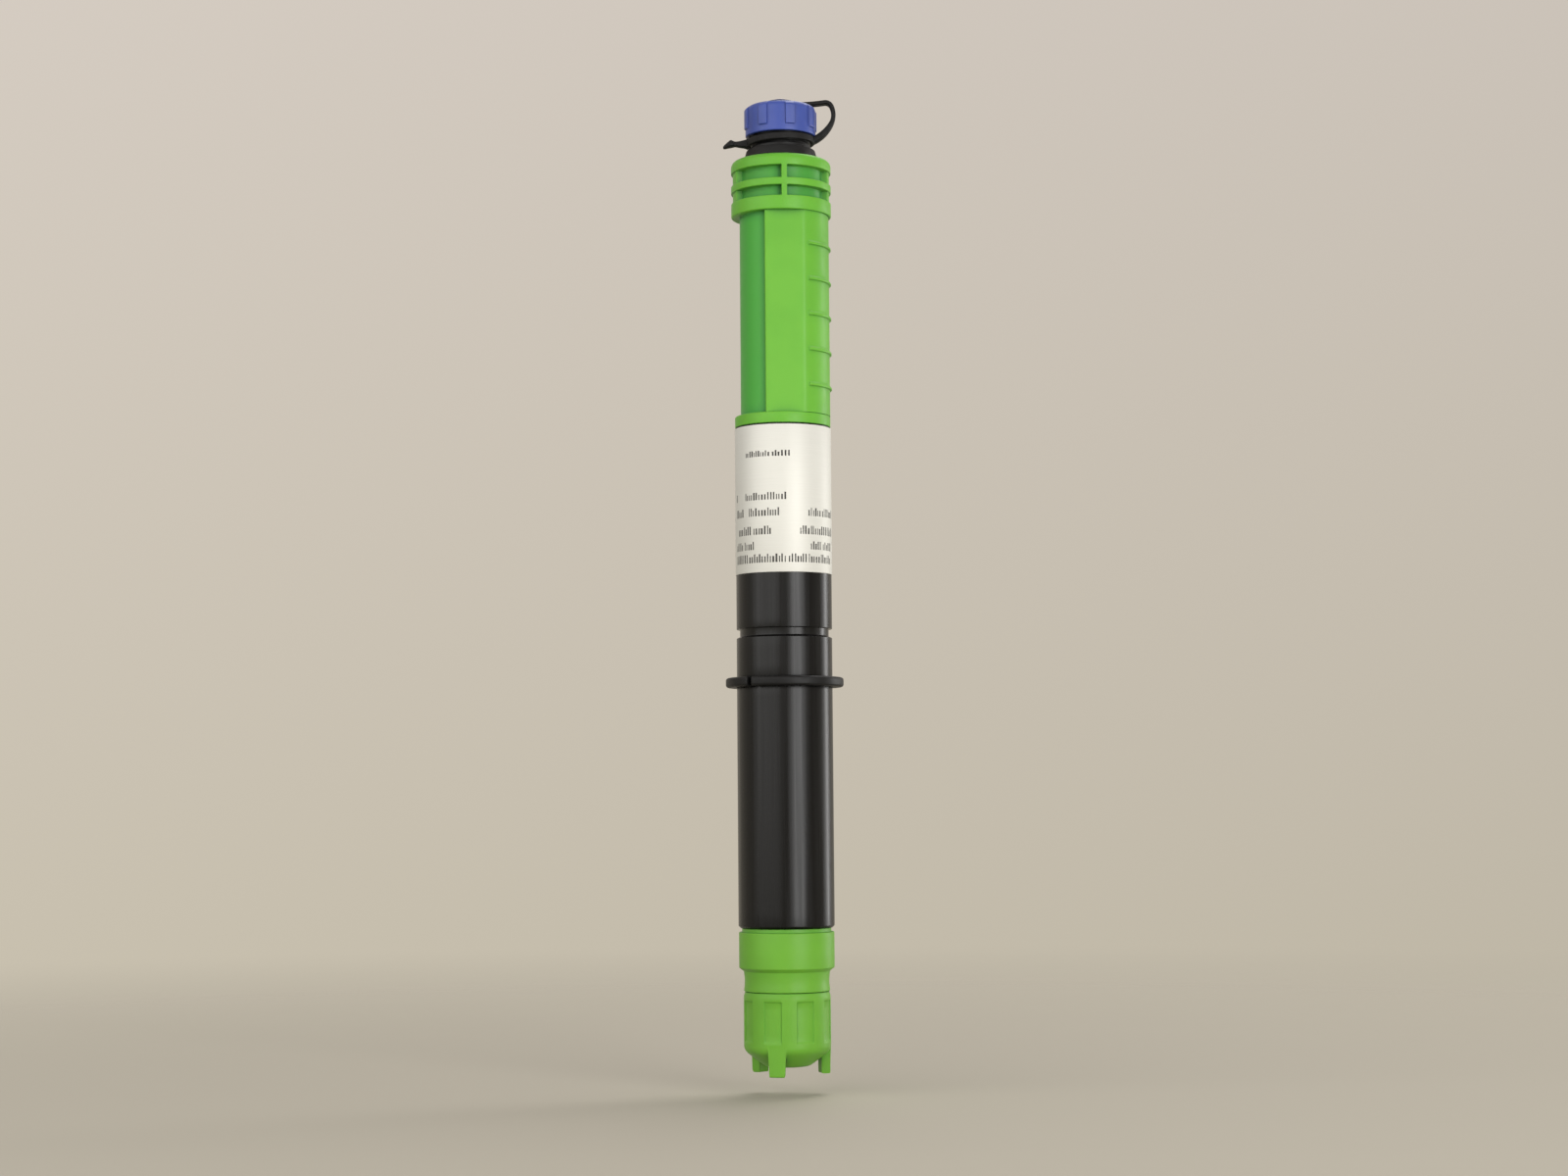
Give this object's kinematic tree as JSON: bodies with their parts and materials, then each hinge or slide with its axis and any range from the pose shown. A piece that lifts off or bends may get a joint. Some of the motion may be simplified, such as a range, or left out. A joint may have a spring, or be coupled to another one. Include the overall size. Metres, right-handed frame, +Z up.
{
  "type": "amperometric chlorine sensor",
  "caption": "Rod-shaped amperometric sensor with a 25 mm body tube, finger grip, capped plug connector and a screw-on membrane cap on three short legs.",
  "frame": {"origin": "on the rod's axis, at the underside of the clamp ring, where the rod's lower half enters the flow cell", "axes": "+Z up along the rod towards the connector, -Y the front of the grip, +X to the right of it"},
  "size_m": [0.0308, 0.0308, 0.2561],
  "materials": {
    "green_abs": "moulded green ABS, satin gloss",
    "black_pvc": "turned black PVC tube, satin",
    "black_nylon": "moulded black polyamide",
    "black_rubber": "black elastomer",
    "blue_plastic": "moulded blue polypropylene, satin gloss",
    "silver_foil": "brushed silver foil label with dark print rows",
    "white_peek": "light engineering plastic",
    "ptfe_film": "thin white membrane film",
    "gold": "polished gold",
    "silver": "silver with a grey chloride layer",
    "steel": "stainless sheath",
    "fibreglass_board": "green fibreglass laminate",
    "chip_black": "moulded chip packages",
    "plug_white": "natural polyamide plug housing",
    "lead_red": "lead insulation"
  },
  "bodies": {
    "sensor_body": {"body_tube": "black_pvc", "clamp_ring": "black_nylon", "label": "silver_foil", "grip": "green_abs", "grip_o_ring": "black_rubber", "connector_shell": "black_nylon", "connector_insert": "plug_white", "contact_pins": "gold", "connector_nut": "black_nylon", "connector_gasket": "black_rubber", "tether_strap": "black_rubber", "electrode_head": "green_abs", "head_o_ring": "black_rubber", "electrode_finger": "white_peek", "working_electrode": "gold", "counter_electrode": "silver", "thermistor": "steel", "circuit_board": "fibreglass_board", "board_components": "chip_black", "board_spacer_lower": "plug_white", "board_spacer_upper": "plug_white", "electrode_plug": "plug_white", "connector_plug": "plug_white", "connector_leads": "lead_red", "signal_leads": "lead_red"},
    "cap_seal": {"cap_gasket": "black_rubber"},
    "cap_turning": {"screw_cap": "blue_plastic"},
    "membrane_seal": {"membrane_cap_o_ring": "black_rubber"},
    "membrane_turning": {"membrane_cap": "green_abs", "membrane": "ptfe_film", "membrane_retainer": "white_peek"}
  },
  "joints": [
    {"name": "cap_lift", "type": "slide", "parent": "sensor_body", "child": "cap_seal", "axis": [0, 0, 1], "range_m": [0, 0.0045], "deforming": ["tether_strap"]},
    {"name": "cap_turn", "type": "hinge", "parent": "cap_seal", "child": "cap_turning", "pos_m": [0, 0, 0.1461], "axis": [0, 0, 1], "range_deg": [0, 1630]},
    {"name": "membrane_drop", "type": "slide", "parent": "sensor_body", "child": "membrane_seal", "axis": [0, 0, -1], "range_m": [0, 0.005]},
    {"name": "membrane_turn", "type": "hinge", "parent": "membrane_seal", "child": "membrane_turning", "pos_m": [0, 0, -0.0788], "axis": [0, 0, -1], "range_deg": [0, 1450]}
  ],
  "couplings": [
    {"joint": "cap_turn", "follows": "cap_lift", "rad_per_m": 6283.2},
    {"joint": "membrane_turn", "follows": "membrane_drop", "rad_per_m": 5026.5}
  ]
}
